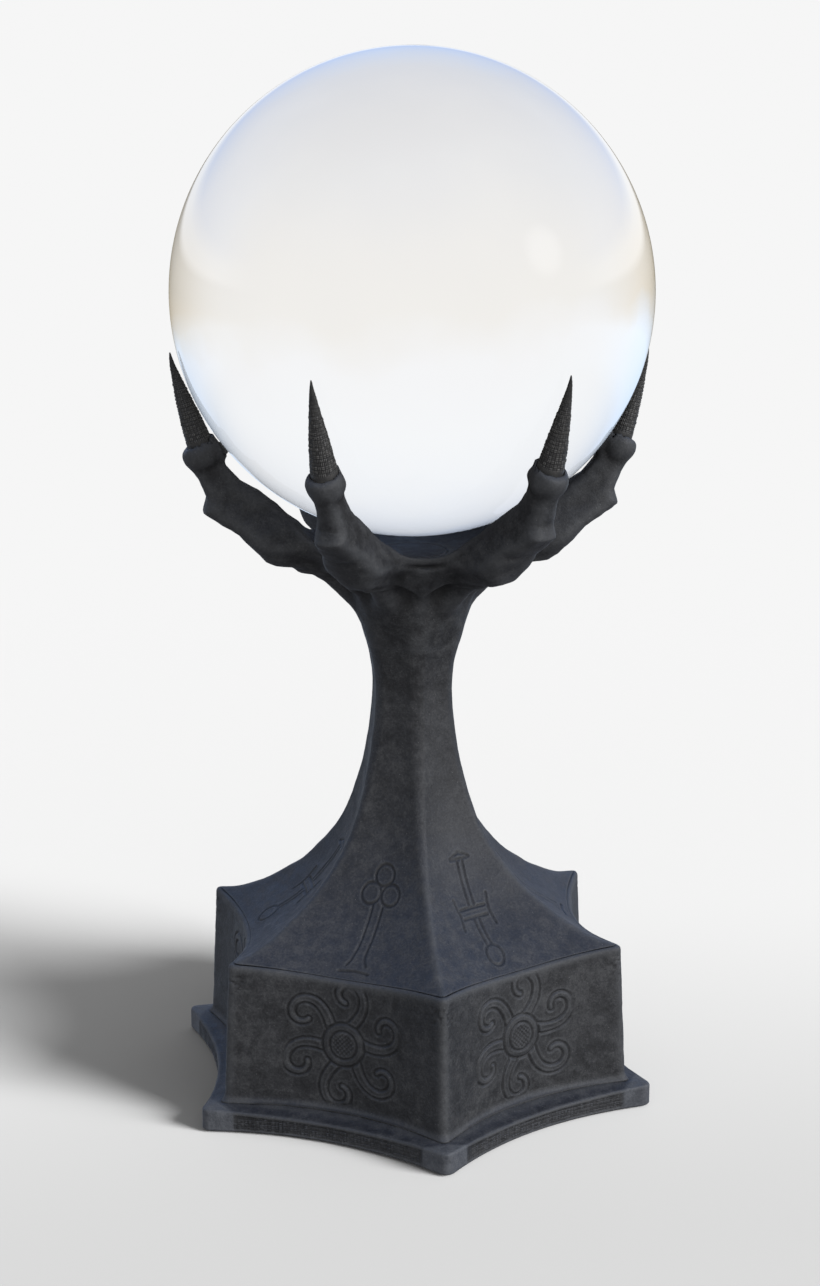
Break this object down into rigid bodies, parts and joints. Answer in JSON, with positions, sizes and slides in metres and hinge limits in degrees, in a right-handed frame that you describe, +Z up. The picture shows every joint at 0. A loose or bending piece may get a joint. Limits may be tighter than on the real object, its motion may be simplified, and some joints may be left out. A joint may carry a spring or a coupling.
{
  "type": "crystal ball on stand",
  "caption": "Clear glass ball resting in a six-claw cast stand with a ridged waisted column and a six-sided base; the ball lifts straight out.",
  "frame": {"origin": "centre of the underside, on the supporting surface", "axes": "+Z up through the ball's centre; +X towards one face of the base and one claw"},
  "size_m": [0.1508, 0.1618, 0.3326],
  "materials": {
    "ball": "polished clear",
    "iron": "blackened, matte, fine cast grain",
    "talon": "blackened, finely cross-cut",
    "steel": "plain machined",
    "pad": "dense felt"
  },
  "bodies": {
    "stand": {"base_pad": "pad", "bottom_nut": "steel", "bottom_washer": "steel", "claw_hand": "iron", "column": "iron", "column_dowels": "steel", "foot_plate": "iron", "foot_screws": "steel", "hand_dowels": "steel", "palm_plug": "iron", "plinth": "iron", "seat_pads": "pad", "talon_1": "talon", "talon_2": "talon", "talon_3": "talon", "talon_4": "talon", "talon_5": "talon", "talon_6": "talon", "tie_rod": "steel", "top_nut": "steel", "top_washer": "steel"},
    "ball": {"crystal_ball": "ball"}
  },
  "joints": [
    {"name": "ball_lift", "type": "slide", "parent": "stand", "child": "ball", "axis": [0, 0, 1], "range_m": [0, 0.09]}
  ]
}
